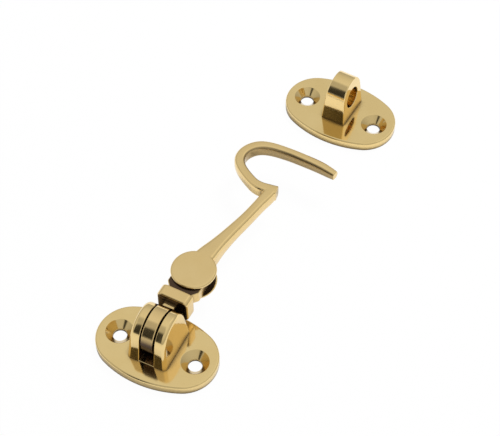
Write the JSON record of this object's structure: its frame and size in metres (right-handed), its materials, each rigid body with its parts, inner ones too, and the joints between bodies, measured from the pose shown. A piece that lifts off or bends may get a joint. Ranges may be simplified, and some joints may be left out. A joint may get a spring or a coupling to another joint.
{
  "type": "hook and eye latch",
  "caption": "Polished brass cabin hook: a cast C-hook swivels on a link hinged to an oval screw plate, with a holed eye on a matching plate.",
  "frame": {"origin": "centre of the hook's plate on its back face, midway between its screw holes", "axes": "+X along the hook plate's long axis, +Y from the hook's plate towards the eye, +Z out of the mounting surface"},
  "size_m": [0.0619, 0.163, 0.0216],
  "materials": {
    "brass_plate": "polished and lacquered",
    "brass_post": "polished and lacquered",
    "brass_link": "polished and lacquered",
    "brass_hook": "polished and lacquered",
    "brass_pin": "drawn, polished at the ends"
  },
  "bodies": {
    "mounting": {"hook_backplate": "brass_plate", "hinge_post": "brass_post", "hinge_pin": "brass_pin", "eye_backplate": "brass_plate", "eye": "brass_post"},
    "link": {"swivel_link": "brass_link"},
    "hook_arm": {"hook": "brass_hook", "swivel_pin": "brass_pin"}
  },
  "joints": [
    {"name": "link_hinge", "type": "hinge", "parent": "mounting", "child": "link", "pos_m": [0, 0.0014, 0.0128], "axis": [1, 0, 0], "range_deg": [-5, 185]},
    {"name": "hook_swivel", "type": "hinge", "parent": "link", "child": "hook_arm", "pos_m": [0.00111, 0.02798, 0.0128], "axis": [0, 0, 1], "range_deg": [-85, 85]}
  ]
}
